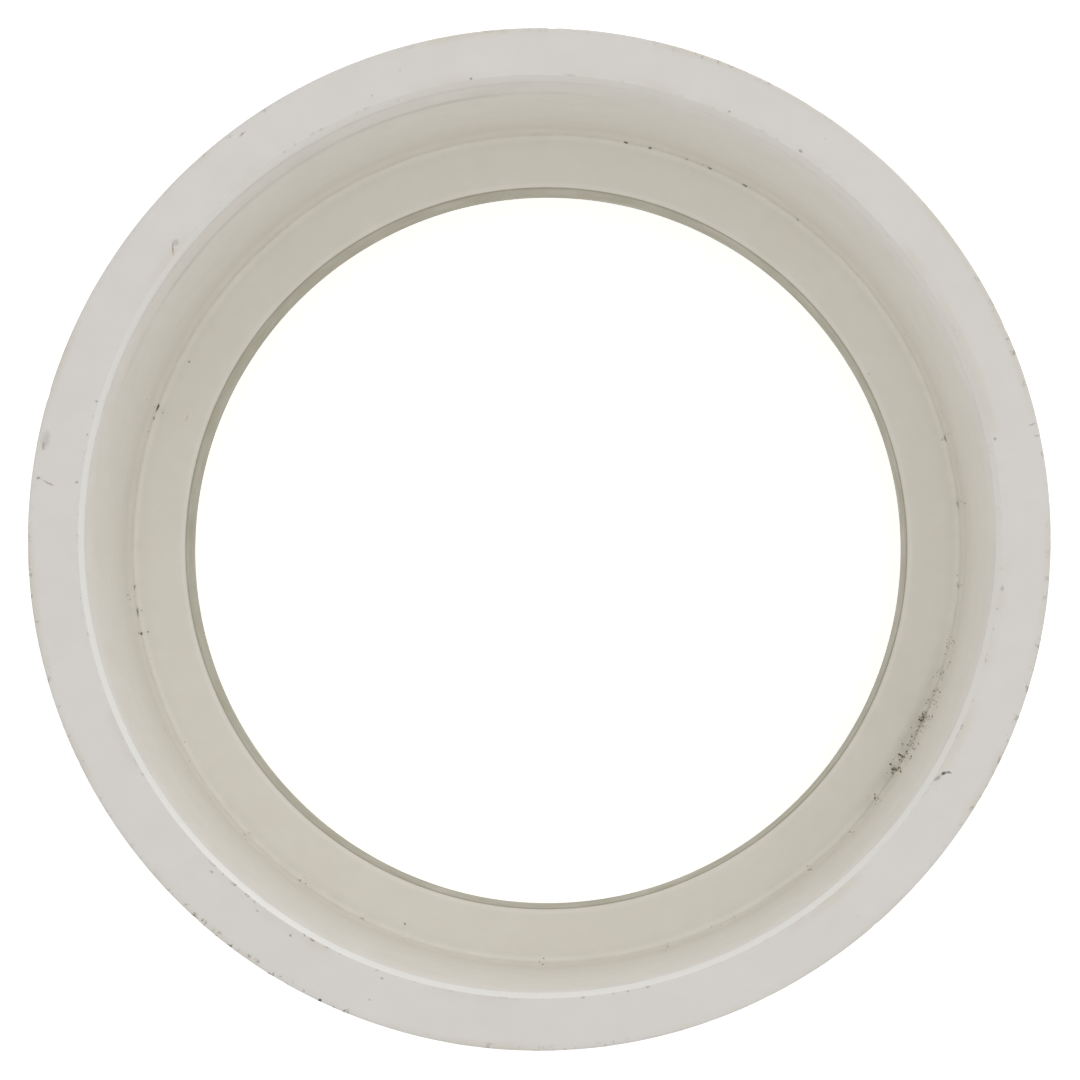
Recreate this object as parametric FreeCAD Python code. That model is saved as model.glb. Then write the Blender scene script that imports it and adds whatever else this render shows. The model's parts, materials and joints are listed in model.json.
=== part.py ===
import FreeCAD, Part
import os

# Toilet flange: the plain hub of a solvent-weld closet flange, for 3-inch drain pipe.
# It is one injection-moulded PVC ring. A deep socket opens upwards and takes the pipe,
# a flat shelf stops the pipe, and a shorter, narrower throat runs on through the base.
# Units are millimetres. The origin is the centre of the base, and +Z runs along the
# bore towards the mouth of the socket.

# ---- driving dimensions ----
pipe_outside_diameter = 88.9    # 3-inch drain, waste and vent pipe
cement_clearance = 0.075        # gap round the pipe, halfway down the socket
socket_depth = 38.1             # mouth to shelf
hub_wall = 5.5                  # wall round the socket
stop_shelf_width = 5.825        # the ledge that the pipe's end lands on
throat_length = 9.5             # shelf to base
mouth_chamfer = 0.55            # lead-in for the pipe
socket_corner_radius = 0.4      # root fillet between the socket wall and the shelf
throat_edge_radius = 0.35       # moulded round at both ends of the throat
outer_edge_radius = 0.4         # moulded round at the rim and at the base

# ---- sizes that follow ----
socket_radius = pipe_outside_diameter / 2 + cement_clearance
hub_radius = socket_radius + hub_wall
throat_radius = socket_radius - stop_shelf_width
shelf_height = throat_length
rim_height = shelf_height + socket_depth
cutter_overrun = 1.0            # how far a cutting cylinder runs past an open end

UP = FreeCAD.Vector(0, 0, 1)
SAME_PLACE = 1e-4


def cylinder(radius, bottom, top):
    """A solid cylinder on the bore axis, between two heights."""
    return Part.makeCylinder(radius, top - bottom, FreeCAD.Vector(0, 0, bottom), UP)


def ring_edge(solid, radius, height):
    """The one circular edge of the solid with this radius at this height."""
    found = []
    for edge in solid.Edges:
        if edge.Curve.TypeId != "Part::GeomCircle":
            continue
        same_radius = abs(edge.Curve.Radius - radius) < SAME_PLACE
        same_height = abs(edge.Curve.Center.z - height) < SAME_PLACE
        if same_radius and same_height:
            found.append(edge)
    if len(found) != 1:
        raise ValueError(f"{len(found)} edges of radius {radius} at height {height}")
    return found[0]


def flange_hub():
    """The whole moulding: a drum with the socket and the throat bored through it."""
    drum = cylinder(hub_radius, 0, rim_height)
    socket = cylinder(socket_radius, shelf_height, rim_height + cutter_overrun)
    throat = cylinder(throat_radius, -cutter_overrun, shelf_height + cutter_overrun)
    body = drum.cut(socket).cut(throat)

    body = body.makeChamfer(mouth_chamfer, [ring_edge(body, socket_radius, rim_height)])
    body = body.makeFillet(socket_corner_radius, [ring_edge(body, socket_radius, shelf_height)])
    for height in (shelf_height, 0):
        body = body.makeFillet(throat_edge_radius, [ring_edge(body, throat_radius, height)])
    for height in (rim_height, 0):
        body = body.makeFillet(outer_edge_radius, [ring_edge(body, hub_radius, height)])
    return body


def save(node, shape):
    """Write one node's STEP file and print what it holds."""
    shape.exportStep(os.path.join("parts", node + ".step"))
    box = shape.optimalBoundingBox()
    print(
        f"{node}: {len(shape.Solids)} solid, valid {shape.isValid()}, "
        f"{box.XLength:.2f} x {box.YLength:.2f} x {box.ZLength:.2f} mm, {shape.Volume / 1000:.2f} cm3"
    )


NODES = {"flange_hub": flange_hub}

os.makedirs("parts", exist_ok=True)
for node_name, make_shape in NODES.items():
    save(node_name, make_shape())
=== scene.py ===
# %% [markdown]
# # A toilet flange hub, moulded in PVC
#
# The object is one plain moulding: a drum with a deep socket for a drain pipe, a flat shelf that stops
# the pipe, and a narrower throat through the base. The frame holds it at its real size, with its base
# on z = 0 and the bore along +Z. Loading the frame first means that every later size can be read from it.

# %% Load the frame
import json
import math

import bpy
from mathutils import Matrix, Vector


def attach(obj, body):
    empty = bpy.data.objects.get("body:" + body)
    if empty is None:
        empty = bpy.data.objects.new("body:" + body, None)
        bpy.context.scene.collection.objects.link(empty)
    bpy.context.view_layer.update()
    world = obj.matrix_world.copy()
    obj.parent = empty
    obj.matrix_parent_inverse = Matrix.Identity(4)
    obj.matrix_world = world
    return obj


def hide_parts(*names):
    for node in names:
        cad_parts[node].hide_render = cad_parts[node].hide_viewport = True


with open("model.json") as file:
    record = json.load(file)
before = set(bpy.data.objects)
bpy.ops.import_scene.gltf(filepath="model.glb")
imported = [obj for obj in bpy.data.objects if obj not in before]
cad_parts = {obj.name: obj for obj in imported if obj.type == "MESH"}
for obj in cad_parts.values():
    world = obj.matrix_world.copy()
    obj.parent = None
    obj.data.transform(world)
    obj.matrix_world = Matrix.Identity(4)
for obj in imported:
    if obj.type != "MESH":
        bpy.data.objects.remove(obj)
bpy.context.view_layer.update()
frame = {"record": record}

# %% [markdown]
# ## Sizes that the frame already knows
#
# The record's mounts hold the real radii and heights of the hub. Reading them here, and not typing them
# again, keeps the finished surface on the designed one if the design ever changes size.

# %% Read the sizes
MM = 0.001
mounts = {mount["name"]: mount for mount in frame["record"]["mounts"]}
hub_radius = mounts["hub_outside"]["dims"]["r_mm"] * MM
socket_radius = mounts["pipe_socket"]["dims"]["r_mm"] * MM
throat_radius = mounts["throat"]["dims"]["r_mm"] * MM
rim_height = mounts["rim_face"]["pos_m"][2]
shelf_height = mounts["pipe_stop"]["pos_m"][2]
print("hub, socket and throat radius in mm:",
      [round(radius / MM, 2) for radius in (hub_radius, socket_radius, throat_radius)])

# %% [markdown]
# Moulded details that are too small for the design: a solvent socket narrows a little towards its shelf,
# so that the pipe jams halfway down, and the mouth stands a fifth of a millimetre off the drum's centre,
# so the rim is wider on one side. Rounds soften every edge, because molten plastic never fills a sharp one.

# %% Small sizes of the moulding
socket_taper = 0.06 * MM        # how much wider than its mean the socket is at the mouth
mouth_chamfer = 0.55 * MM
mouth_shift = 0.22 * MM         # how far the mouth stands off the drum's centre
mouth_shift_angle = math.radians(64)
corner_fillet = 0.40 * MM
edge_round = 0.25 * MM
throat_round = 0.25 * MM
chamfer_round = 0.10 * MM
score_below_rim = 8.0 * MM      # a pipe's edge has scored the wall here
score_width = 0.80 * MM         # from the middle of the score to its edge
score_depth = 0.12 * MM
score_angle = math.radians(122)
# painted highlight: the chamfer is painted palest towards this side, which faces the lamps; it is also
# rubbed smoothest here
rub_and_highlight_angle = math.radians(-112)  # pipes have leant on this side of the mouth
drag_angle = math.radians(-122) # and this side of the rim has been dragged over the ground

mouth_radius = socket_radius + socket_taper
shelf_corner_radius = socket_radius - socket_taper
chamfer_top_radius = mouth_radius + mouth_chamfer
chamfer_bottom = rim_height - mouth_chamfer
score_height = rim_height - score_below_rim
print(f"mouth {mouth_radius / MM:.2f}, chamfer up to {chamfer_top_radius / MM:.2f} mm in radius")

# %% [markdown]
# ## A few small helpers
#
# Node trees are long when each node takes four lines to make. One function makes any node, of a shape
# tree or of a material, gives it its settings and fills its sockets in order, with numbers or with links.
# Two sums come up again and again, so they get a name each. The last helper turns the hex colours that
# people read off swatches into the linear values that light needs.

# %% Add a node
def add(tree, kind, *inputs, named=None, **settings):
    """Add one node, fill its live inputs in order (None skips one) and return its live outputs."""
    node = tree.nodes.new(kind)
    for setting, value in settings.items():
        setattr(node, setting, value)
    live = [socket for socket in node.inputs if socket.enabled]
    pairs = list(zip(live, inputs)) + [(node.inputs[name], value) for name, value in (named or {}).items()]
    for socket, value in pairs:
        if isinstance(value, bpy.types.NodeSocket):
            tree.links.new(value, socket)
        elif value is not None:
            socket.default_value = value
    return [socket for socket in node.outputs if socket.enabled]


# %% Sums that come up again and again
def product(tree, result, *factors):
    """Several numbers multiplied."""
    for factor in factors:
        result = add(tree, "ShaderNodeMath", result, factor, operation="MULTIPLY")[0]
    return result


def angle_between(tree, angle, aim):
    """How far one angle is from another, in radians."""
    difference = add(tree, "ShaderNodeMath", angle, aim, operation="SUBTRACT")[0]
    return add(tree, "ShaderNodeMath", difference, operation="ABSOLUTE")[0]


# %% Read a colour
def linear(hex_colour):
    """An sRGB hex colour as linear red, green, blue and an alpha of 1."""
    shares = [int(hex_colour[i:i + 2], 16) / 255 for i in (1, 3, 5)]
    return [s / 12.92 if s <= 0.04045 else ((s + 0.055) / 1.055) ** 2.4 for s in shares] + [1.0]


# %% [markdown]
# ## The finish: injection-moulded rigid PVC
#
# Rigid PVC pipe fittings are filled with chalk and a little white pigment, so light doesn't travel far in
# them, and the colour is a warm off-white that yellows with age. The mould gives a satin skin: a soft
# highlight, no mirror. Handling then adds what makes it look used: scuffs, specks and grime in corners.
#
# The patterns could be painted as pictures, but pictures blur up close and need unwrapping. Procedural
# patterns on the object's own coordinates stay sharp, so each one below is sized in millimetres.

# %% Colours of the plastic and of the dirt on it
PVC_CLEAN = "#E5E1DC"
PVC_INSIDE = "#E0DCD3"          # the socket, a touch yellower than the rim
# painted light: paler plastic by the socket corner and on the shelf, lifting the shade there
PVC_PAINTED_CORNER_LIGHT = "#FCFAF2"            # the plastic close to the socket corner
PVC_AGED = "#D2CBB4"
# partly wear, partly painted highlight: the scraped chamfer's pale colour, painted palest on the side that
# faces the lamps
PVC_RUBBED_AND_HIGHLIGHT = "#FBF9F4"          # the chamfer, scraped by pipes
# painted shade: the throat's darker colour, and a darker line just under its lip
PVC_THROAT_PAINTED_SHADE = "#8C866A"         # the throat, which carried water
THROAT_LIP_PAINTED_SHADE = "#868065"
BROWN_STAIN = "#6D634A"
GRIME = "#39332A"
RUST = "#8A5A48"
GRIT_DARK = "#453F33"
GRIT_PALE = "#A89E87"
pvc_ior = 1.54
pvc_roughness = 0.42
rubbed_roughness = 0.22
grime_roughness = 0.85
skin_relief = 0.02 * MM         # how far the mould's satin skin stands up, and how far the crust does
crust_relief = 0.05 * MM


# %% Start a material
def new_material(name):
    """An empty material with its output node; returns the material, its tree and the output node."""
    material = bpy.data.materials.new(name)
    material.use_nodes = True
    material.node_tree.nodes.clear()
    output = material.node_tree.nodes.new("ShaderNodeOutputMaterial")
    return material, material.node_tree, output


# %% [markdown]
# Every layer asks the same questions: how high is this point, how far from the bore's axis, and at what
# angle round it? They are worked out once. The mouth gets a radius of its own, from its own centre.

# %% Where a point is
def find_place(tree):
    """The shading point's coordinates, height, radius and angle, by name."""
    place = add(tree, "ShaderNodeTexCoord")[3]
    x, y, z = add(tree, "ShaderNodeSeparateXYZ", place)
    flat = add(tree, "ShaderNodeCombineXYZ", x, y, 0.0)[0]
    mouth_centre = (mouth_shift * math.cos(mouth_shift_angle), mouth_shift * math.sin(mouth_shift_angle), 0)
    return {
        "place": place,
        "height": z,
        "radius": add(tree, "ShaderNodeVectorMath", flat, operation="LENGTH")[0],
        "mouth_radius": add(tree, "ShaderNodeVectorMath", flat, mouth_centre, operation="DISTANCE")[0],
        "angle": add(tree, "ShaderNodeMath", y, x, operation="ARCTAN2")[0],
    }


# %% Nearness to a circle
def near_circle(tree, at, radius, height, far, near, most=1.0, measure="radius"):
    """From 0 at the distance `far` to `most` at `near`, how close a point is to a circle about the bore.

    The measure "mouth_radius" takes a circle about the mouth's own centre.
    """
    section = add(tree, "ShaderNodeCombineXYZ", at[measure], at["height"], 0.0)[0]
    circle = add(tree, "ShaderNodeCombineXYZ", radius, height, 0.0)[0]
    distance = add(tree, "ShaderNodeVectorMath", section, circle, operation="DISTANCE")[0]
    return add(tree, "ShaderNodeMapRange", distance, far, near, 0.0, most,
               interpolation_type="SMOOTHSTEP")[0]


# %% One colour over another
def laid_over(tree, amount, under, over):
    """A colour with another laid over it by an amount from 0 to 1. Either can be given as a hex colour."""
    under, over = (linear(colour) if isinstance(colour, str) else colour for colour in (under, over))
    return add(tree, "ShaderNodeMix", amount, under, over, data_type="RGBA")[0]


# %% [markdown]
# The first layer is the plastic itself: the rim's colour outside, blending over a few millimetres into a
# slightly yellower one in the socket. Light that enters white plastic leaves it again some way off, so a
# corner, where shadow would gather, stays nearly as pale as its surroundings. A paler colour there and on
# the shelf stands in for that; it is painted light, which lifts the shade of the corner and the shelf.
# Pigment that didn't mix fully leaves faint clouds, about 12 mm and 3 mm across.

# %% The plastic's own colour
yellowing_depth = 9 * MM        # the socket has its full colour this far below the rim
painted_light_reach = 6.6 * MM           # how far up the wall the pale corner fades out
shelf_painted_light_at_lip = 0.38        # how pale the shelf is at each side, as a share of the corner
shelf_painted_light_at_wall = 0.66


def plastic_colour(tree, at):
    """Clean plastic on the outside, a little yellower inside, and painted paler towards the socket corner as
    painted light.
    """
    depth = add(tree, "ShaderNodeMapRange", at["height"], rim_height, rim_height - yellowing_depth)[0]
    colour = laid_over(tree, depth, PVC_CLEAN, PVC_INSIDE)
    above_base = add(tree, "ShaderNodeMath", at["height"], shelf_height / 2, operation="GREATER_THAN")[0]
    inside = add(tree, "ShaderNodeMath", at["radius"], socket_radius + 1.5 * MM, operation="LESS_THAN")[0]
    inside = product(tree, inside, above_base)
    colour = laid_over(tree, inside, PVC_CLEAN, colour)

    # painted light: the corner and the shelf beside it are painted paler, which lifts their shade
    painted_light = near_circle(tree, at, shelf_corner_radius, shelf_height, painted_light_reach, 0.3 * MM)
    shelf_painted_light = add(tree, "ShaderNodeMapRange", at["radius"], throat_radius, shelf_corner_radius,
                     shelf_painted_light_at_lip, shelf_painted_light_at_wall)[0]
    painted_light = add(tree, "ShaderNodeMapRange", at["radius"], shelf_corner_radius - 0.1 * MM,
               shelf_corner_radius - 0.8 * MM, painted_light, shelf_painted_light)[0]
    painted_light = product(tree, painted_light, above_base)
    colour = laid_over(tree, painted_light, colour, PVC_PAINTED_CORNER_LIGHT)

    clouds = add(tree, "ShaderNodeTexNoise", at["place"], 1 / (12 * MM), 3.0, 0.55)[0]
    grains = add(tree, "ShaderNodeTexNoise", at["place"], 1 / (2.5 * MM), 2.0, 0.6)[0]
    mottle = add(tree, "ShaderNodeMath", clouds, grains, operation="ADD")[0]
    aged = add(tree, "ShaderNodeMapRange", mottle, 0.75, 1.25, 0.0, 0.09)[0]
    return laid_over(tree, aged, colour, PVC_AGED)


# %% [markdown]
# Three places differ from the plain plastic. Pipes have rubbed the chamfer pale and smooth, most where they
# leant on it, and the shelf's inner lip a little; that side of the chamfer also faces the lamps, and its
# extra paleness is a painted highlight. The plastic beside the chamfer and along the outer edge has yellowed
# in patches. The throat is painted darker, which is painted shade, and darker still just under its lip.

# %% Rubbed, yellowed and stained places
def used_colour(tree, at, colour):
    """The plastic's colour after use, with a painted highlight on the chamfer and painted shade in the
    throat, and the chamfer's mask of rub and painted highlight.
    """
    patches = add(tree, "ShaderNodeTexNoise", at["place"], 1 / (12 * MM), 3.0, 0.55)[0]
    patches = add(tree, "ShaderNodeMapRange", patches, 0.45, 0.62, 0.0, 0.30)[0]
    by_mouth = near_circle(tree, at, chamfer_top_radius, rim_height, 1.2 * MM, 0.3 * MM,
                           measure="mouth_radius")
    by_edge = near_circle(tree, at, hub_radius, rim_height, 1.0 * MM, 0.2 * MM)
    edges = add(tree, "ShaderNodeMath", by_mouth, by_edge, operation="MAXIMUM")[0]
    colour = laid_over(tree, product(tree, patches, edges), colour, PVC_AGED)

    # painted highlight: the chamfer is paler the nearer it turns to the side facing the lamps; the same mask
    # smooths it there
    toward = add(tree, "ShaderNodeMath", at["angle"], rub_and_highlight_angle, operation="SUBTRACT")[0]
    toward = add(tree, "ShaderNodeMath", toward, operation="COSINE")[0]
    rub_and_highlight_side = add(tree, "ShaderNodeMapRange", toward, -1.0, 0.5, 0.6, 1.0)[0]
    chamfer = near_circle(tree, at, mouth_radius + mouth_chamfer / 2, rim_height - mouth_chamfer / 2,
                          0.42 * MM, 0.32 * MM, measure="mouth_radius")
    colour = laid_over(tree, product(tree, chamfer, 0.3), colour, PVC_AGED)
    lip = near_circle(tree, at, throat_radius + 0.35 * MM, shelf_height, 0.30 * MM, 0.10 * MM, 0.18)
    rub_and_highlight = product(tree, chamfer, rub_and_highlight_side)
    rub_and_highlight = add(tree, "ShaderNodeMath", rub_and_highlight, lip, operation="MAXIMUM")[0]
    colour = laid_over(tree, rub_and_highlight, colour, PVC_RUBBED_AND_HIGHLIGHT)

    # painted shade: the throat is painted darker, most just under its lip
    low = add(tree, "ShaderNodeMapRange", at["height"], shelf_height - 1.4 * MM, shelf_height - 0.5 * MM)[0]
    stain = laid_over(tree, low, PVC_THROAT_PAINTED_SHADE, THROAT_LIP_PAINTED_SHADE)
    in_throat = add(tree, "ShaderNodeMapRange", at["radius"],
                    throat_radius + 0.12 * MM, throat_radius + 0.02 * MM)[0]
    return laid_over(tree, in_throat, colour, stain), rub_and_highlight


# %% [markdown]
# Dirt in the corner between wall and shelf comes in two widths: a hair of black packed into the corner
# itself, and a soft brown stain on both sides of it. How much of each there is changes round the bore, so a
# short table gives both at some angles, and a colour ramp with the hair in red and the stain in green
# blends between them. One ramp can hold at most 32 stops.

# %% How dirty the corner is
# angle in degrees, hair, stain
CORNER_DIRT = [
    (-180, 0.10, 0.05), (-171, 0.20, 0.08), (-160, 0.08, 0.06), (-148, 0.0, 0.08), (-130, 0.0, 0.12),
    (-112, 0.0, 0.10), (-95, 0.03, 0.05), (-60, 0.04, 0.04), (-42, 0.04, 0.08), (-36, 0.06, 0.24),
    (-30, 0.10, 0.42), (-25, 0.10, 0.42), (-19, 0.06, 0.24), (-8, 0.06, 0.08), (6, 0.14, 0.10),
    (15, 0.18, 0.10), (30, 0.10, 0.03), (50, 0.25, 0.02), (57, 0.50, 0.03), (79, 0.50, 0.03),
    (85, 0.12, 0.02), (110, 0.06, 0.02), (150, 0.08, 0.03), (161, 0.20, 0.06), (180, 0.10, 0.05),
]


# %% Corner dirt
def corner_dirt(tree, at):
    """The black hair and the brown stain in the socket corner, as two masks."""
    turn = add(tree, "ShaderNodeMapRange", at["angle"], -math.pi, math.pi)[0]
    amounts = add(tree, "ShaderNodeValToRGB", turn)[0]
    stops = amounts.node.color_ramp.elements
    for number, (angle, hair_amount, stain_amount) in enumerate(CORNER_DIRT):
        stop = stops[number] if number < 2 else stops.new(0.5)
        stop.position = 1.0 if number == 1 else angle / 360 + 0.5
        stop.color = (hair_amount, stain_amount, 0, 1)
    hair_amount, stain_amount = add(tree, "ShaderNodeSeparateColor", amounts)[:2]

    wobble = add(tree, "ShaderNodeTexNoise", at["place"], 1 / (5 * MM), 2.0)[0]
    wobble = add(tree, "ShaderNodeMapRange", wobble, 0.0, 1.0, -0.10 * MM, 0.10 * MM)[0]
    line_radius = add(tree, "ShaderNodeMath", wobble, shelf_corner_radius - 0.05 * MM, operation="ADD")[0]
    hair = near_circle(tree, at, line_radius, shelf_height + 0.16 * MM, 0.20 * MM, 0.05 * MM)
    patchy = add(tree, "ShaderNodeTexNoise", at["place"], 1 / (1.8 * MM), 3.0, 0.7)[0]
    patchy = add(tree, "ShaderNodeMapRange", patchy, 0.38, 0.60, 0.25, 1.0)[0]
    stain = near_circle(tree, at, shelf_corner_radius - 0.1 * MM, shelf_height, 1.8 * MM, 0.0)
    cloudy = add(tree, "ShaderNodeTexNoise", at["place"], 1 / (1.6 * MM), 3.0, 0.55)[0]
    cloudy = add(tree, "ShaderNodeMapRange", cloudy, 0.30, 0.70, 0.4, 1.0)[0]
    return product(tree, hair, patchy, hair_amount), product(tree, stain, cloudy, stain_amount)


# %% [markdown]
# The rest of the general dirt needs no table. Specks are dots in the middle of some Voronoi cells. Grime
# rubbed into the nicks of the rim's outer edge, and small dashes along the chamfer's upper edge, are
# noises cut off near their peaks and kept close to an edge. The score on the wall holds a little too, and
# on the same side the wall is darker in a band just under the chamfer.

# %% Specks, edge grime and the score
def loose_dirt(tree, at):
    """The dirt that falls by chance, and the little that the score holds with a darker band under the
    chamfer, as two masks.
    """
    cells = add(tree, "ShaderNodeTexVoronoi", at["place"], 1 / (3.2 * MM))
    lucky = add(tree, "ShaderNodeSeparateColor", cells[1])[0]
    lucky = add(tree, "ShaderNodeMapRange", lucky, 0.70, 1.0, 0.0, 0.55)[0]
    dot = add(tree, "ShaderNodeMapRange", cells[0], 0.050, 0.022)[0]
    dot = product(tree, dot, lucky)

    sides = add(tree, "ShaderNodeTexNoise", at["place"], 1 / (26 * MM), 1.0)[0]
    sides = add(tree, "ShaderNodeMapRange", sides, 0.42, 0.60, 0.2, 1.0)[0]
    away = angle_between(tree, at["angle"], drag_angle)
    dragged = add(tree, "ShaderNodeMapRange", away, math.radians(16), math.radians(8), 0.0, 1.6)[0]
    sides = add(tree, "ShaderNodeMath", sides, dragged, operation="ADD")[0]
    rubbed_in = add(tree, "ShaderNodeTexNoise", at["place"], 1 / (0.9 * MM), 3.0, 0.7)[0]
    rubbed_in = add(tree, "ShaderNodeMapRange", rubbed_in, 0.56, 0.68)[0]
    on_edge = near_circle(tree, at, hub_radius, rim_height, 0.75 * MM, 0.15 * MM, 0.5)
    at_mouth = near_circle(tree, at, chamfer_top_radius + 0.08 * MM, rim_height, 0.20 * MM, 0.03 * MM,
                           0.35, measure="mouth_radius")
    on_edge = add(tree, "ShaderNodeMath", on_edge, at_mouth, operation="MAXIMUM")[0]
    on_edge = product(tree, on_edge, sides, rubbed_in)

    off_angle = angle_between(tree, at["angle"], score_angle)
    reach = add(tree, "ShaderNodeMapRange", off_angle, math.radians(42), math.radians(24), 0.0, 0.16)[0]
    score = near_circle(tree, at, mouth_radius, score_height, 1.3 * MM, 0.5 * MM)
    # a darker band just under the chamfer's lower edge, on the score's side of the mouth
    under = near_circle(tree, at, mouth_radius, chamfer_bottom - 0.8 * MM, 0.9 * MM, 0.3 * MM,
                        0.4, measure="mouth_radius")
    score = add(tree, "ShaderNodeMath", score, under, operation="MAXIMUM")[0]
    return add(tree, "ShaderNodeMath", dot, on_edge, operation="MAXIMUM")[0], product(tree, score, reach)


# %% [markdown]
# A mark is a small irregular patch at a known place, such as a scrape or a dash of dirt. Its mask is a
# squashed ball: a Mapping node moves and turns the coordinates onto the mark, the distance from its
# centre is taken, and a smooth step turns that into a patch. Coordinates that were first shaken by a fine
# noise give it a ragged outline.

# %% One mark's mask
def mark_mask(tree, shaken, angle, radius, height, across, along, turn, strength):
    """From 0 to `strength`, how far a point is inside one mark. Angles are degrees, sizes millimetres."""
    around = math.radians(angle)
    centre = (radius * MM * math.cos(around), radius * MM * math.sin(around), height * MM)
    turned = (0, 0, math.radians(angle + turn))
    size = (across * MM, along * MM, max(across, 0.4) * MM)
    local = add(tree, "ShaderNodeMapping", shaken, centre, turned, size, vector_type="TEXTURE")[0]
    distance = add(tree, "ShaderNodeVectorMath", local, operation="LENGTH")[0]
    return add(tree, "ShaderNodeMapRange", distance, 1.0, 0.25, 0.0, strength,
               interpolation_type="SMOOTHSTEP")[0]


# %% Where the marks are
rim_mm = rim_height / MM
shelf_mm = shelf_height / MM
corner_mm = shelf_corner_radius / MM
low_mm = shelf_mm + 0.2
# angle, radius, height, half the size across and along, turn, strength
DARK_MARKS = [
    (-30.2, 45.66, rim_mm, 0.24, 0.34, -20, 0.95),    # scrape beside the mouth
    (-31.1, 45.42, rim_mm, 0.22, 0.60, -20, 0.42),
    (-29.8, 45.98, rim_mm, 0.16, 0.55, -70, 0.65),
    (140.8, 45.8, rim_mm, 0.45, 0.50, 20, 0.22),      # smear of old cement
    (168.8, 49.2, rim_mm, 0.60, 1.30, 0, 0.18),       # rubbed patch on the outer edge
    (173.2, 49.3, rim_mm, 0.25, 0.15, 0, 0.50),
    (173.1, 45.5, rim_mm, 0.18, 0.18, 0, 0.45),       # specks beside the chamfer
    (167.1, 45.3, rim_mm, 0.15, 0.15, 0, 0.40),
    (162.8, 45.3, rim_mm, 0.16, 0.16, 0, 0.50),
    (98.3, 45.5, rim_mm, 0.20, 0.20, 0, 0.60),
    (65.8, 45.7, rim_mm, 0.14, 0.20, 0, 0.45),
    (55.8, 45.7, rim_mm, 0.16, 0.28, 0, 0.45),
    (12.1, 45.6, rim_mm, 0.18, 0.20, 0, 0.40),
    (-6.3, 45.5, rim_mm, 0.22, 0.40, 0, 0.28),
    (12.9, 49.45, rim_mm, 0.50, 0.16, 15, 0.34),      # nicks of the outer edge
    (11.5, 49.65, rim_mm, 0.40, 0.14, -15, 0.30),
    (9.3, 49.8, rim_mm, 0.14, 0.50, 0, 0.25),
    (-25.8, 49.85, rim_mm, 0.16, 0.60, 0, 0.40),
    (-126.9, 45.6, rim_mm, 0.13, 0.30, 0, 0.40),
    (-121.9, 45.7, rim_mm, 0.14, 0.22, 0, 0.55),
    (-109.5, 45.6, rim_mm, 0.14, 0.24, 0, 0.50),
    (-134.3, 45.6, rim_mm, 0.14, 0.30, 0, 0.40),
    (78.8, corner_mm, low_mm, 0.20, 0.36, 0, 1.0),    # dashes packed into the corner
    (75.3, corner_mm, low_mm, 0.20, 0.34, 0, 1.0),
    (70.0, corner_mm, low_mm, 0.16, 0.30, 0, 0.5),
    (66.6, corner_mm, low_mm, 0.20, 0.42, 0, 0.9),
    (61.2, corner_mm, low_mm, 0.24, 0.46, 0, 1.0),
    (52.4, corner_mm, low_mm, 0.18, 0.40, 0, 0.6),
    (160.2, corner_mm, low_mm, 0.22, 0.75, 0, 0.95),
    (161.7, corner_mm, low_mm, 0.16, 0.40, 0, 0.6),
    (15.2, corner_mm, low_mm, 0.25, 0.60, 0, 0.6),
    (6.0, corner_mm, low_mm, 0.22, 0.80, 0, 0.5),
    (-5.3, corner_mm, low_mm, 0.20, 0.60, 0, 0.5),
    (-174.5, corner_mm, low_mm, 0.20, 0.50, 0, 0.6),
    (-171.0, corner_mm, low_mm, 0.20, 0.80, 0, 0.7),
    (-168.0, corner_mm, low_mm, 0.24, 0.30, 0, 0.95),
    (-154.3, 44.5, 17.0, 0.15, 0.60, 0, 0.35),        # scratches on the wall
    (-143.0, 44.5, 14.5, 0.15, 0.45, 0, 0.30),
    (-136.0, 44.2, low_mm, 0.16, 0.20, 0, 0.60),
    (-126.4, 44.4, low_mm, 0.22, 0.30, 20, 0.45),
    (-116.3, 44.4, low_mm, 0.22, 0.45, -15, 0.35),
    (-110.5, 43.1, shelf_mm, 0.16, 0.18, 0, 0.60),
]
RED_MARKS = [
    (141.6, 45.7, rim_mm, 0.15, 0.95, 38, 0.60),
    (126.2, 49.1, rim_mm, 0.14, 0.55, 9, 0.50),
    (173.6, 48.3, rim_mm, 0.90, 0.14, -20, 0.50),
    (169.5, 49.3, rim_mm, 0.16, 0.60, 8, 0.40),
    (160.2, 41.1, shelf_mm, 0.14, 0.50, 0, 0.25),
]
print(len(DARK_MARKS), "dark marks and", len(RED_MARKS), "reddish ones")


# %% [markdown]
# The layers are now laid over one another. One dirt mask drives colour and roughness together, because
# dirt is both darker and more matt than the plastic. Only the crust in the corner and the specks stand up
# from it as relief; the marks are stains and scrapes too thin for that. The satin skin of the mould is a
# fine relief as well, real at about 0.1 mm and drawn here at 0.4 mm so that it shows.

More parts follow.
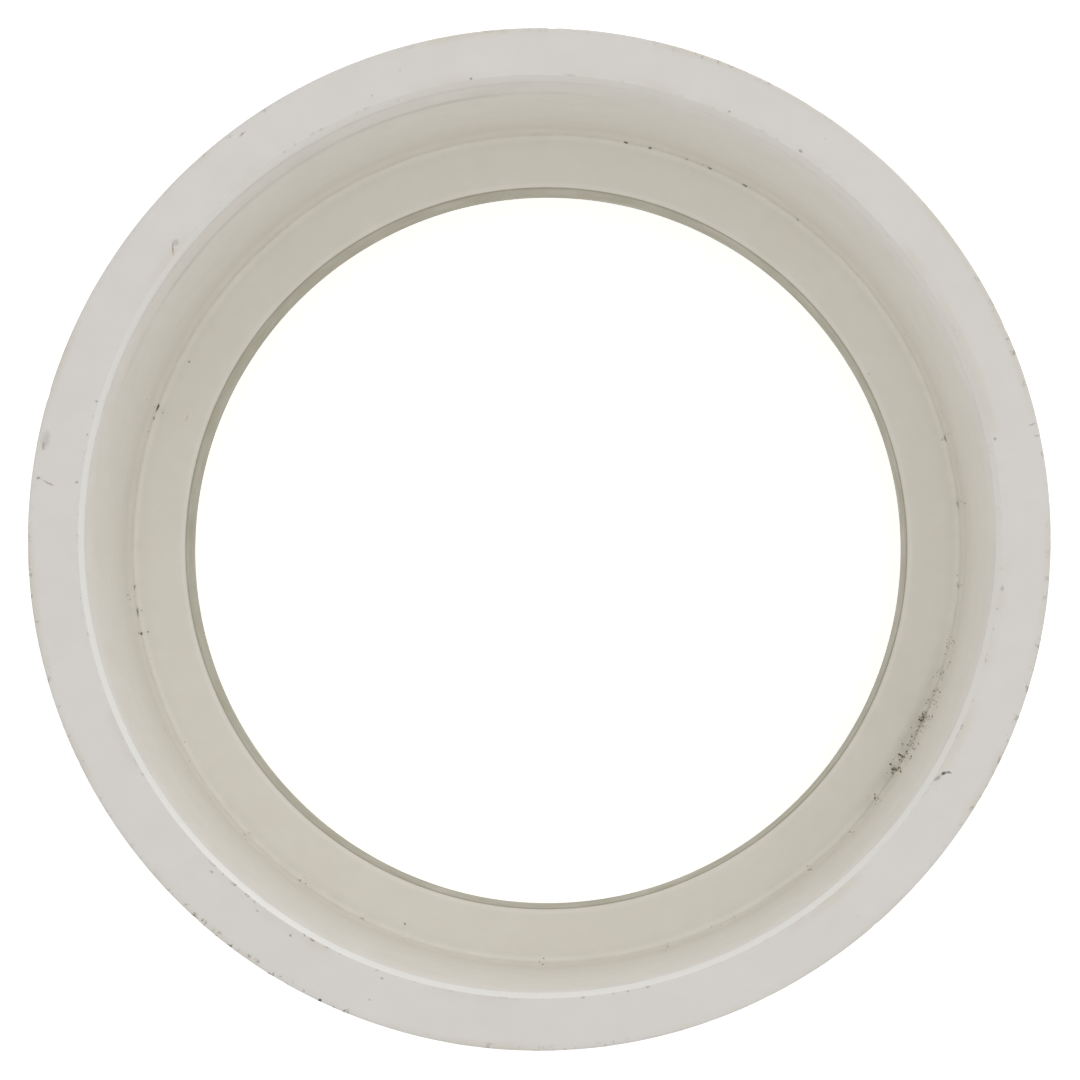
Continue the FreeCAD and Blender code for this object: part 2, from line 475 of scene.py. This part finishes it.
# %% Injection-moulded PVC
def moulded_pvc():
    """Warm off-white rigid PVC with a satin mould skin, scuffed and dirty where it was handled."""
    material, tree, output = new_material("injection_moulded_pvc")
    at = find_place(tree)
    colour, rub_and_highlight = used_colour(tree, at, plastic_colour(tree, at))
    hair, stain = corner_dirt(tree, at)
    specks, score = loose_dirt(tree, at)
    stain = add(tree, "ShaderNodeMath", stain, score, operation="MAXIMUM")[0]
    colour = laid_over(tree, stain, colour, BROWN_STAIN)
    crust = add(tree, "ShaderNodeMath", hair, specks, operation="MAXIMUM")[0]

    shake = add(tree, "ShaderNodeTexNoise", at["place"], 1 / (0.35 * MM), 2.0)[1]
    shake = add(tree, "ShaderNodeVectorMath", shake, (0.5, 0.5, 0.5), operation="SUBTRACT")[0]
    shake = add(tree, "ShaderNodeVectorMath", shake, 0.30 * MM, operation="SCALE")[0]
    shaken = add(tree, "ShaderNodeVectorMath", at["place"], shake, operation="ADD")[0]
    dirt = crust
    for row in DARK_MARKS:
        dirt = add(tree, "ShaderNodeMath", dirt, mark_mask(tree, shaken, *row), operation="MAXIMUM")[0]
    red = 0.0
    for row in RED_MARKS:
        red = add(tree, "ShaderNodeMath", red, mark_mask(tree, shaken, *row), operation="MAXIMUM")[0]
    colour = laid_over(tree, red, colour, RUST)
    colour = laid_over(tree, dirt, colour, GRIME)

    rub = add(tree, "ShaderNodeTexNoise", at["place"], 1 / (5 * MM), 4.0, 0.65)[0]
    rough = add(tree, "ShaderNodeMapRange", rub, 0.3, 0.7, pvc_roughness - 0.07, pvc_roughness + 0.08)[0]
    rough = add(tree, "ShaderNodeMix", rub_and_highlight, rough, rubbed_roughness)[0]
    rough = add(tree, "ShaderNodeMix", dirt, rough, grime_roughness)[0]
    skin = add(tree, "ShaderNodeTexNoise", at["place"], 1 / (0.4 * MM), 3.0, 0.6)[0]
    bump = add(tree, "ShaderNodeBump", 0.12, skin_relief, None, skin)[0]
    bump = add(tree, "ShaderNodeBump", 0.25, crust_relief, None, crust, bump)[0]
    shader = add(tree, "ShaderNodeBsdfPrincipled",
                 named={"Base Color": colour, "Roughness": rough, "IOR": pvc_ior, "Normal": bump})[0]
    tree.links.new(shader, output.inputs["Surface"])
    print("injection_moulded_pvc:", len(tree.nodes), "nodes")
    return material


pvc = moulded_pvc()

# %% [markdown]
# ## Running a shape tree
#
# Geometry Nodes describe a shape as a rule with named sizes, so a size can be changed without touching the
# rule. Two helpers are enough: one starts a tree with its named inputs, the other runs it once and keeps
# the plain mesh that comes out, so that nothing live is left on the finished piece.

# %% Start a shape tree
def new_shape_tree(name, sizes):
    """A tree that takes a start mesh and one named input per size; returns it with its inputs by name."""
    tree = bpy.data.node_groups.new(name, "GeometryNodeTree")
    kinds = {float: "NodeSocketFloat", int: "NodeSocketInt"}
    tree.interface.new_socket("Start", in_out="INPUT", socket_type="NodeSocketGeometry")
    for label, value in sizes.items():
        kind = kinds.get(type(value), "NodeSocketMaterial")
        tree.interface.new_socket(label, in_out="INPUT", socket_type=kind)
    tree.interface.new_socket("Shape", in_out="OUTPUT", socket_type="NodeSocketGeometry")
    given = tree.nodes.new("NodeGroupInput")
    return tree, {socket.name: socket for socket in given.outputs}


# %% Finish a tree and run it
def finish_tree(tree, shape, finish):
    """Close a tree the way the export needs: real geometry, not instances, with its material set."""
    shape = add(tree, "GeometryNodeRealizeInstances", shape)[0]
    shape = add(tree, "GeometryNodeSetMaterial", shape, None, finish)[0]
    add(tree, "NodeGroupOutput", shape)


def run_tree(tree, sizes, start, name):
    """Run a shape tree on a start mesh and return a plain mesh object with nothing live on it."""
    carrier = bpy.data.objects.new(name + "_start", start)
    bpy.context.scene.collection.objects.link(carrier)
    modifier = carrier.modifiers.new("shape", "NODES")
    modifier.node_group = tree
    for item in tree.interface.items_tree:
        if item.in_out == "INPUT" and item.name in sizes:
            modifier[item.identifier] = sizes[item.name]
    depsgraph = bpy.context.evaluated_depsgraph_get()
    mesh = bpy.data.meshes.new_from_object(
        carrier.evaluated_get(depsgraph), preserve_all_data_layers=True, depsgraph=depsgraph)
    bpy.data.objects.remove(carrier)
    piece = bpy.data.objects.new(name, mesh)
    bpy.context.scene.collection.objects.link(piece)
    print(f"{name}: {len(mesh.vertices)} points, {len(mesh.polygons)} faces")
    return piece

# %% [markdown]
# ## The hub itself
#
# Everything on the moulding is round, so one half outline, swept once about the bore, gives the whole
# body. A lathe command would do that too, but nodes let the sweep go on: after it, the same tree leans the
# chamfer, cuts the score and chips the edges, each by a rule that a reader can switch off.
#
# The outline has one row per corner: its radius, its height, the radius it is rounded to, and how long
# the mesh's steps are on the straight run that follows. Short steps go where something fine happens.

# %% The half outline
score_zone = 1.2 * MM           # how far the fine steps reach above and below the score


def wall_radius(height):
    """The tapered socket wall's radius at a height."""
    share = (height - shelf_height) / (chamfer_bottom - shelf_height)
    return shelf_corner_radius + share * (mouth_radius - shelf_corner_radius)


OUTLINE = [
    (throat_radius, 0.0, throat_round, 1.4 * MM),                            # base, inner edge
    (hub_radius, 0.0, edge_round, 2.6 * MM),                                 # base, outer edge
    (hub_radius, rim_height, edge_round, 0.45 * MM),                         # rim, outer edge
    (chamfer_top_radius, rim_height, chamfer_round, 0.3 * MM),               # chamfer, upper edge
    (mouth_radius, chamfer_bottom, chamfer_round, 0.9 * MM),                 # chamfer, lower edge
    (wall_radius(score_height + score_zone), score_height + score_zone, 0.0, 0.24 * MM),
    (wall_radius(score_height - score_zone), score_height - score_zone, 0.0, 1.6 * MM),
    (shelf_corner_radius, shelf_height, corner_fillet, 0.7 * MM),            # socket corner
    (throat_radius, shelf_height, throat_round, 1.5 * MM),                   # lip of the throat
]


# %% [markdown]
# Fillet Curve in the tree rounds each corner by the radius stored on its point. It needs straight run left
# on both sides, so the points that divide a run start where the rounds end. Curve to Mesh will lay the
# outline's X away from the path's centre and its Y downwards, so heights go in with a minus sign, and
# the loop is turned round so that its faces still point outwards.

# %% Divide the runs and store them as a loop of edges
def outline_mesh(rows):
    """The outline as one closed loop of edges in X and Y, with each point's round stored on it."""
    points = []
    for row, following in zip(rows, rows[1:] + rows[:1]):
        here, there = Vector(row[:2]), Vector(following[:2])
        length = (there - here).length
        plain = length - row[2] - following[2]
        steps = max(1, round(plain / row[3]))
        points.append((*here, row[2]))
        for step in range(1, steps):
            spot = here.lerp(there, (row[2] + plain * step / steps) / length)
            points.append((*spot, 0.0))
    points.reverse()
    mesh = bpy.data.meshes.new("hub_outline")
    count = len(points)
    loop = [(i, (i + 1) % count) for i in range(count)]
    mesh.from_pydata([(radius - hub_radius, -height, 0) for radius, height, _ in points], loop, [])
    rounds = mesh.attributes.new("round", "FLOAT", "POINT")
    rounds.data.foreach_set("value", [point[2] for point in points])
    print("outline:", count, "points")
    return mesh


# %% [markdown]
# The tree sweeps the outline round a circle as wide as the hub, and then moves the points of the result.
# Each move is a field: a number worked out at every point from where the point is. The mouth slides to
# its own centre, by nothing at the shelf and by all of it at the rim. The score is a shallow valley in the
# wall that fades out at both ends. The nicks are a noise, cut off so that only its peaks count, and only
# close to an edge.

# %% Sizes given to the tree
hub_sizes = {
    "Hub Radius": hub_radius,
    "Chamfer Top Radius": chamfer_top_radius,
    "Rim Height": rim_height,
    "Shelf Height": shelf_height,
    "Mouth Shift": mouth_shift,
    "Mouth Shift Angle": mouth_shift_angle,
    "Shift Reach": 3.0 * MM,
    "Score Height": score_height,
    "Score Width": score_width,
    "Score Depth": score_depth,
    "Score Angle": score_angle,
    "Nick Size": 1.1 * MM,
    "Nick Depth": 0.16 * MM,
    "Warp": 0.04 * MM,
    "Steps Around": 720,
    "Steps per Round": 5,
    "Finish": pvc,
}


# %% Grow the hub
def hub_tree(sizes):
    """Sweep the outline round the bore, shift the mouth, cut the score and nick the edges."""
    tree, given = new_shape_tree("moulded_hub", sizes)
    outline = add(tree, "GeometryNodeMeshToCurve", given["Start"])[0]
    rounds = add(tree, "GeometryNodeInputNamedAttribute", "round", data_type="FLOAT")[0]
    outline = add(tree, "GeometryNodeFilletCurve", outline, given["Steps per Round"], rounds, mode="POLY")[0]
    path = add(tree, "GeometryNodeCurvePrimitiveCircle", given["Steps Around"], given["Hub Radius"])[0]
    body = add(tree, "GeometryNodeCurveToMesh", path, outline)[0]

    # where each point is: its height, its distance from the bore's axis and its angle round it
    place = add(tree, "GeometryNodeInputPosition")[0]
    x, y, z = add(tree, "ShaderNodeSeparateXYZ", place)
    flat = add(tree, "ShaderNodeCombineXYZ", x, y, 0.0)[0]
    radius = add(tree, "ShaderNodeVectorMath", flat, operation="LENGTH")[0]
    outward = add(tree, "ShaderNodeVectorMath", flat, operation="NORMALIZE")[0]
    angle = add(tree, "ShaderNodeMath", y, x, operation="ARCTAN2")[0]
    chamfer_top = given["Chamfer Top Radius"]

    # mouth shift: nothing at the shelf, all of it at the rim, fading out across the rim's face
    fade_out = add(tree, "ShaderNodeMath", chamfer_top, given["Shift Reach"], operation="ADD")[0]
    rise = add(tree, "ShaderNodeMapRange", z, given["Shelf Height"], given["Rim Height"])[0]
    fall = add(tree, "ShaderNodeMapRange", radius, fade_out, chamfer_top)[0]
    slide = product(tree, given["Mouth Shift"], rise, fall)
    slide = add(tree, "ShaderNodeCombineXYZ", slide, 0.0, 0.0)[0]
    slide = add(tree, "ShaderNodeVectorRotate", slide, None, given["Mouth Shift Angle"],
                rotation_type="Z_AXIS")[0]

    # score: a valley in the wall at one height, over about a sixth of the way round
    off_score = add(tree, "ShaderNodeMath", z, given["Score Height"], operation="SUBTRACT")[0]
    off_score = add(tree, "ShaderNodeMath", off_score, operation="ABSOLUTE")[0]
    valley = add(tree, "ShaderNodeMapRange", off_score, given["Score Width"], 0.0,
                 interpolation_type="SMOOTHSTEP")[0]
    ahead = angle_between(tree, angle, given["Score Angle"])
    stretch = add(tree, "ShaderNodeMapRange", ahead, math.radians(44), math.radians(24))[0]
    on_wall = add(tree, "ShaderNodeMath", radius, chamfer_top, operation="LESS_THAN")[0]
    score = product(tree, given["Score Depth"], valley, stretch, on_wall)
    score = add(tree, "ShaderNodeVectorMath", outward, score, operation="SCALE")[0]
    sideways = add(tree, "ShaderNodeVectorMath", slide, score, operation="ADD")[0]

    # nicks: peaks of a noise near the rim's outer edge, the chamfer's upper edge and the base's outer edge
    fineness = add(tree, "ShaderNodeMath", 1.0, given["Nick Size"], operation="DIVIDE")[0]
    chips = add(tree, "ShaderNodeTexNoise", place, fineness, 2.0, 0.6)[0]
    chips = add(tree, "ShaderNodeMapRange", chips, 0.60, 0.78)[0]
    bad_sides = add(tree, "ShaderNodeTexNoise", place, 1 / (22 * MM), 1.0)[0]
    bad_sides = add(tree, "ShaderNodeMapRange", bad_sides, 0.42, 0.60, 0.15, 1.0)[0]
    chips = product(tree, chips, bad_sides)
    section = add(tree, "ShaderNodeCombineXYZ", radius, z, 0.0)[0]
    nicks = 0.0
    for edge_radius, edge_height, share in ((given["Hub Radius"], given["Rim Height"], 1.0),
                                            (chamfer_top, given["Rim Height"], 0.35),
                                            (given["Hub Radius"], 0.0, 0.8)):
        edge = add(tree, "ShaderNodeCombineXYZ", edge_radius, edge_height, 0.0)[0]
        reach = add(tree, "ShaderNodeVectorMath", section, edge, operation="DISTANCE")[0]
        reach = add(tree, "ShaderNodeMapRange", reach, 0.9 * MM, 0.25 * MM, 0.0, share)[0]
        nicks = add(tree, "ShaderNodeMath", nicks, reach, operation="MAXIMUM")[0]
    nicks = product(tree, nicks, chips, given["Nick Depth"])

    # warp: walls cool unevenly, so no large face is quite true
    warp = add(tree, "ShaderNodeTexNoise", place, 1 / (26 * MM), 1.0)[0]
    warp = add(tree, "ShaderNodeMath", warp, 0.5, operation="SUBTRACT")[0]
    warp = product(tree, warp, given["Warp"])
    along_normal = add(tree, "ShaderNodeMath", warp, nicks, operation="SUBTRACT")[0]
    normal = add(tree, "GeometryNodeInputNormal")[0]
    relief = add(tree, "ShaderNodeVectorMath", normal, along_normal, operation="SCALE")[0]
    move = add(tree, "ShaderNodeVectorMath", sideways, relief, operation="ADD")[0]
    body = add(tree, "GeometryNodeSetPosition", body, None, None, move)[0]
    body = add(tree, "GeometryNodeSetShadeSmooth", body)[0]
    finish_tree(tree, body, given["Finish"])
    return tree


hub = run_tree(hub_tree(hub_sizes), hub_sizes, outline_mesh(OUTLINE), "moulded_hub")
print("moulded hub", [round(d / MM, 2) for d in hub.dimensions], "mm")

# %% [markdown]
# ## Grit in the socket's corner
#
# Sand and dried cement collect where the wall meets the shelf. They could be painted on, but crumbs stand
# up from the plastic and throw small shadows, so they are real lumps. Each crumb is a twenty-sided ball,
# squashed and turned at random, which is enough for something a fifth of a millimetre across.
#
# The crumbs lie in patches. A start mesh with one point per patch carries each patch's numbers, and the
# tree makes that many copies of the point, slides each copy along the corner and drops a crumb on it.

# %% Where the grit lies
# middle angle in degrees, spread in degrees, number of crumbs, crumb size in millimetres
GRIT_PATCHES = [
    (-13.0, 0.8, 8, 0.16), (-15.0, 2.2, 16, 0.14), (-17.8, 1.2, 20, 0.16), (-20.3, 1.0, 18, 0.15),
    (-22.0, 1.0, 26, 0.13), (-24.2, 0.9, 70, 0.17), (-26.0, 1.8, 60, 0.14), (-28.2, 1.2, 44, 0.16),
    (-30.1, 0.7, 26, 0.19), (-31.0, 0.4, 14, 0.17), (-32.3, 0.5, 30, 0.26), (-33.4, 0.5, 14, 0.17),
    (-37.4, 0.8, 20, 0.18), (-43.2, 0.5, 7, 0.17), (-50.6, 0.4, 8, 0.17), (-57.0, 5.0, 10, 0.11),
    (-73.0, 0.4, 7, 0.17), (-90.5, 0.4, 7, 0.16), (-110.0, 0.4, 4, 0.14), (-126.0, 0.6, 7, 0.14),
    (-136.0, 5.0, 8, 0.11), (-149.0, 0.3, 3, 0.15), (-168.0, 0.2, 5, 0.20), (-173.0, 2.5, 12, 0.13),
    (160.2, 0.5, 10, 0.14), (163.6, 0.2, 2, 0.13), (15.2, 1.0, 6, 0.13), (6.0, 0.8, 5, 0.12),
    (-5.3, 0.8, 6, 0.12), (0.0, 180.0, 60, 0.09),
]
grit_sizes = {
    "Corner Radius": shelf_corner_radius,
    "Shelf Height": shelf_height,
    "Corner Fillet": corner_fillet,
    "Slide": 1.35 * MM,
    "Lift": 0.40 * MM,
    "Climb": 7.0,
    "Flatness": 0.6,
    "Roughness": 0.35,
    "Seed": 7,
}


# %% [markdown]
# The grit's colours run from near black to sand. A noise about as coarse as the crumbs themselves gives
# neighbours different colours without needing a material each.

# %% Dried grit
def dried_grit():
    """Sand and dried grime: matt, dark brown with some paler grains."""
    material, tree, output = new_material("dried_grit")
    place = add(tree, "ShaderNodeTexCoord")[3]
    grains = add(tree, "ShaderNodeTexNoise", place, 1 / (0.35 * MM), 2.0)[0]
    grains = add(tree, "ShaderNodeMapRange", grains, 0.38, 0.62)[0]
    colour = laid_over(tree, grains, GRIT_DARK, GRIT_PALE)
    fine = add(tree, "ShaderNodeTexNoise", place, 1 / (0.06 * MM), 2.0)[0]
    bump = add(tree, "ShaderNodeBump", 0.5, 0.02 * MM, None, fine)[0]
    shader = add(tree, "ShaderNodeBsdfPrincipled",
                 named={"Base Color": colour, "Roughness": 0.9, "Normal": bump})[0]
    tree.links.new(shader, output.inputs["Surface"])
    return material


grit_sizes["Finish"] = dried_grit()


# %% One point per patch
def patch_mesh(patches):
    """A point for each patch of grit, with its numbers stored on it."""
    mesh = bpy.data.meshes.new("grit_patches")
    mesh.from_pydata([(0, 0, 0)] * len(patches), [], [])
    units = {"angle": math.radians(1), "spread": math.radians(1), "crumbs": 1, "size": MM}
    for (label, unit), values in zip(units.items(), zip(*patches)):
        store = mesh.attributes.new(label, "FLOAT", "POINT")
        store.data.foreach_set("value", [value * unit for value in values])
    return mesh


# %% [markdown]
# A crumb's place along the corner is one number, its slide, measured along the surface: below zero it is
# up the wall, above the fillet's arc length it is out on the shelf, and between the two it is on the
# fillet. Adding two random numbers bunches the crumbs towards the middle of the patch, as real dirt does.
# Cement ran down the wall, so crumbs reach several times farther up it than out on the shelf.

# %% Grow the grit
def grit_tree(sizes):
    """Copy each patch's point, slide the copies along the socket corner and put a crumb on each."""
    tree, given = new_shape_tree("corner_grit", sizes)
    stored = {name: add(tree, "GeometryNodeInputNamedAttribute", name, data_type="FLOAT")[0]
              for name in ("angle", "spread", "crumbs", "size")}
    points = add(tree, "GeometryNodeMeshToPoints", given["Start"])[0]
    points = add(tree, "GeometryNodeDuplicateElements", points, None, stored["crumbs"], domain="POINT")[0]

    index = add(tree, "GeometryNodeInputIndex")[0]
    chances = []
    for draw in range(5):
        seed = add(tree, "ShaderNodeMath", given["Seed"], draw * 11.0, operation="ADD")[0]
        low, high = (-0.5, 0.5) if draw < 4 else (0.0, 1.0)
        chances.append(add(tree, "FunctionNodeRandomValue", low, high, index, seed, data_type="FLOAT")[0])

    turn = add(tree, "ShaderNodeMath", chances[0], chances[1], operation="ADD")[0]
    turn = product(tree, turn, stored["spread"])
    angle = add(tree, "ShaderNodeMath", turn, stored["angle"], operation="ADD")[0]
    fillet = given["Corner Fillet"]
    half_arc = product(tree, fillet, math.pi / 4)
    slide = add(tree, "ShaderNodeMath", chances[2], chances[3], operation="ADD")[0]
    slide = product(tree, slide, given["Slide"])
    slide = add(tree, "ShaderNodeMath", slide, given["Lift"], operation="SUBTRACT")[0]
    slide = add(tree, "ShaderNodeMath", slide, half_arc, operation="ADD")[0]

    # how far round the fillet, up the wall and out on the shelf the crumb has slid
    round_it = add(tree, "ShaderNodeMath", slide, fillet, operation="DIVIDE")[0]
    round_it = add(tree, "ShaderNodeClamp", round_it, 0.0, math.pi / 2)[0]
    arc = product(tree, half_arc, 2.0)
    up_wall = add(tree, "ShaderNodeMath", slide, 0.0, operation="MINIMUM")[0]
    up_wall = product(tree, up_wall, given["Climb"])
    on_shelf = add(tree, "ShaderNodeMath", slide, arc, operation="SUBTRACT")[0]
    on_shelf = add(tree, "ShaderNodeMath", on_shelf, 0.0, operation="MAXIMUM")[0]
    centre_radius = add(tree, "ShaderNodeMath", given["Corner Radius"], fillet, operation="SUBTRACT")[0]
    centre_height = add(tree, "ShaderNodeMath", given["Shelf Height"], fillet, operation="ADD")[0]
    cosine = add(tree, "ShaderNodeMath", round_it, operation="COSINE")[0]
    sine = add(tree, "ShaderNodeMath", round_it, operation="SINE")[0]
    radius = add(tree, "ShaderNodeMath", cosine, fillet, centre_radius, operation="MULTIPLY_ADD")[0]
    radius = add(tree, "ShaderNodeMath", radius, on_shelf, operation="SUBTRACT")[0]
    drop = add(tree, "ShaderNodeMath", sine, fillet, up_wall, operation="MULTIPLY_ADD")[0]
    height = add(tree, "ShaderNodeMath", centre_height, drop, operation="SUBTRACT")[0]
    spot = add(tree, "ShaderNodeCombineXYZ", radius, 0.0, height)[0]
    spot = add(tree, "ShaderNodeVectorRotate", spot, None, angle, rotation_type="Z_AXIS")[0]
    points = add(tree, "GeometryNodeSetPosition", points, None, spot)[0]

    # a squashed, turned ball for each crumb; a few are large and most are small
    crumb = add(tree, "GeometryNodeMeshIcoSphere", 0.5, 1)[0]
    tilt = add(tree, "FunctionNodeRandomValue", None, (math.tau, math.tau, math.tau), index,
               data_type="FLOAT_VECTOR")[0]
    tilt = add(tree, "FunctionNodeEulerToRotation", tilt)[0]
    share = add(tree, "ShaderNodeMath", chances[4], 3.0, operation="POWER")[0]
    share = add(tree, "ShaderNodeMapRange", share, 0.0, 1.0, 0.5, 1.6)[0]
    across = product(tree, share, stored["size"])
    thick = product(tree, across, given["Flatness"])
    scale = add(tree, "ShaderNodeCombineXYZ", across, across, thick)[0]
    crumbs = add(tree, "GeometryNodeInstanceOnPoints", points, None, crumb, None, None, tilt, scale)[0]
    crumbs = add(tree, "GeometryNodeRealizeInstances", crumbs)[0]

    # shaken corners, so that no two crumbs match
    place = add(tree, "GeometryNodeInputPosition")[0]
    shake = add(tree, "ShaderNodeTexNoise", place, 1 / (0.07 * MM), 1.0)[1]
    shake = add(tree, "ShaderNodeVectorMath", shake, (0.5, 0.5, 0.5), operation="SUBTRACT")[0]
    reach = product(tree, given["Roughness"], 0.12 * MM)
    shake = add(tree, "ShaderNodeVectorMath", shake, reach, operation="SCALE")[0]
    crumbs = add(tree, "GeometryNodeSetPosition", crumbs, None, None, shake)[0]
    finish_tree(tree, crumbs, given["Finish"])
    return tree


grit = run_tree(grit_tree(grit_sizes), grit_sizes, patch_mesh(GRIT_PATCHES), "corner_grit")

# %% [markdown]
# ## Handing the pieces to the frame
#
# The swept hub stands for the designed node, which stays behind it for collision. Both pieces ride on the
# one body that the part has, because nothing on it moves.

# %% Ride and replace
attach(hub, "root")
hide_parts("flange_hub")
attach(grit, "root")
print("pieces:", hub.name, "and", grit.name)

# %% [markdown]
# ## The stage: a pale floor and soft light
#
# Small parts are shown on a bright white ground, from straight above, a little off the axis so that some
# wall shows. A wide softbox overhead reaches down into the socket, a smaller one at the side gives the
# wall its slow change from side to side, and a third stands low, where the chamfer mirrors it as a bright
# line. A pale sky opens the shadows. The floor glows a little, as a light table does, and lights the wall
# from below.

# %% Floor
floor_half_side = 3.0
floor_glow = 0.54
floor_drop = 0.05 * MM        # keeps the ground from sharing a plane with the base


def pale_floor():
    """A matt white ground with a little light of its own."""
    material, tree, output = new_material("white_light_table")
    shader = add(tree, "ShaderNodeBsdfPrincipled", named={
        "Base Color": linear("#FFFFFF"), "Roughness": 0.9,
        "Emission Color": linear("#FFFFFF"), "Emission Strength": floor_glow})[0]
    tree.links.new(shader, output.inputs["Surface"])
    return material


def floor_square(half_side):
    """A square ground a hair below the face that the hub stands on."""
    corners = [(x * half_side, y * half_side, -floor_drop) for x, y in ((-1, -1), (1, -1), (1, 1), (-1, 1))]
    mesh = bpy.data.meshes.new("floor")
    mesh.from_pydata(corners, [], [(0, 1, 2, 3)])
    mesh.materials.append(pale_floor())
    return bpy.data.objects.new("floor", mesh)


floor = floor_square(floor_half_side)
bpy.context.scene.collection.objects.link(floor)

# %% Pale sky
world = bpy.data.worlds.new("pale_sky")
world.use_nodes = True
sky = world.node_tree.nodes["Background"]
sky.inputs["Color"].default_value = linear("#FFFFFF")
sky.inputs["Strength"].default_value = 0.50
bpy.context.scene.world = world


# %% Softboxes
def softbox(name, azimuth, climb, distance, diameter, watts):
    """A round soft light that looks at the rim. Angles are degrees, lengths metres."""
    light = bpy.data.lights.new(name, "AREA")
    light.shape = "DISK"
    light.size = diameter
    light.energy = watts
    light.color = (1, 1, 1)
    lamp = bpy.data.objects.new(name, light)
    around, up = math.radians(azimuth), math.radians(climb)
    toward = Vector((math.cos(around) * math.cos(up), math.sin(around) * math.cos(up), math.sin(up)))
    lamp.location = toward * distance
    lamp.rotation_euler = (Vector((0, 0, rim_height)) - lamp.location).to_track_quat("-Z", "Y").to_euler()
    bpy.context.scene.collection.objects.link(lamp)
    return lamp


overhead = softbox("overhead_softbox", azimuth=59, climb=89.9, distance=1.3, diameter=1.2, watts=4.3)
side = softbox("side_softbox", azimuth=59, climb=47, distance=1.3, diameter=0.7, watts=1.0)
low = softbox("low_softbox", azimuth=55, climb=17, distance=1.3, diameter=0.7, watts=1.4)
bpy.context.scene.view_settings.view_transform = "Standard"
print("lights:", overhead.name, side.name, "and", low.name)

# %% [markdown]
# ## The camera
#
# It looks straight down from 38 cm above the rim with a long lens. It stands 14 mm off the bore's axis and
# aims back at the rim's centre, which is why the throat looks a little off centre.

# %% Camera
sensor_mm = 36.0
lens_mm = 130.76
eye = Vector((8.40 * MM, -10.74 * MM, rim_height + 382.95 * MM))
aim = Vector((0.21 * MM, -0.25 * MM, rim_height))

camera = bpy.data.cameras.new("overhead_camera")
camera.sensor_width = sensor_mm
camera.lens = lens_mm
camera.clip_start = 0.01
camera.dof.use_dof = False
back = (eye - aim).normalized()
right = Vector((0, 1, 0)).cross(back).normalized()
camera_object = bpy.data.objects.new("overhead_camera", camera)
camera_object.matrix_world = Matrix((right, back.cross(right), back)).transposed().to_4x4()
camera_object.location = eye
bpy.context.scene.collection.objects.link(camera_object)
bpy.context.scene.camera = camera_object
print("camera", [round(c / MM, 1) for c in eye], "mm")
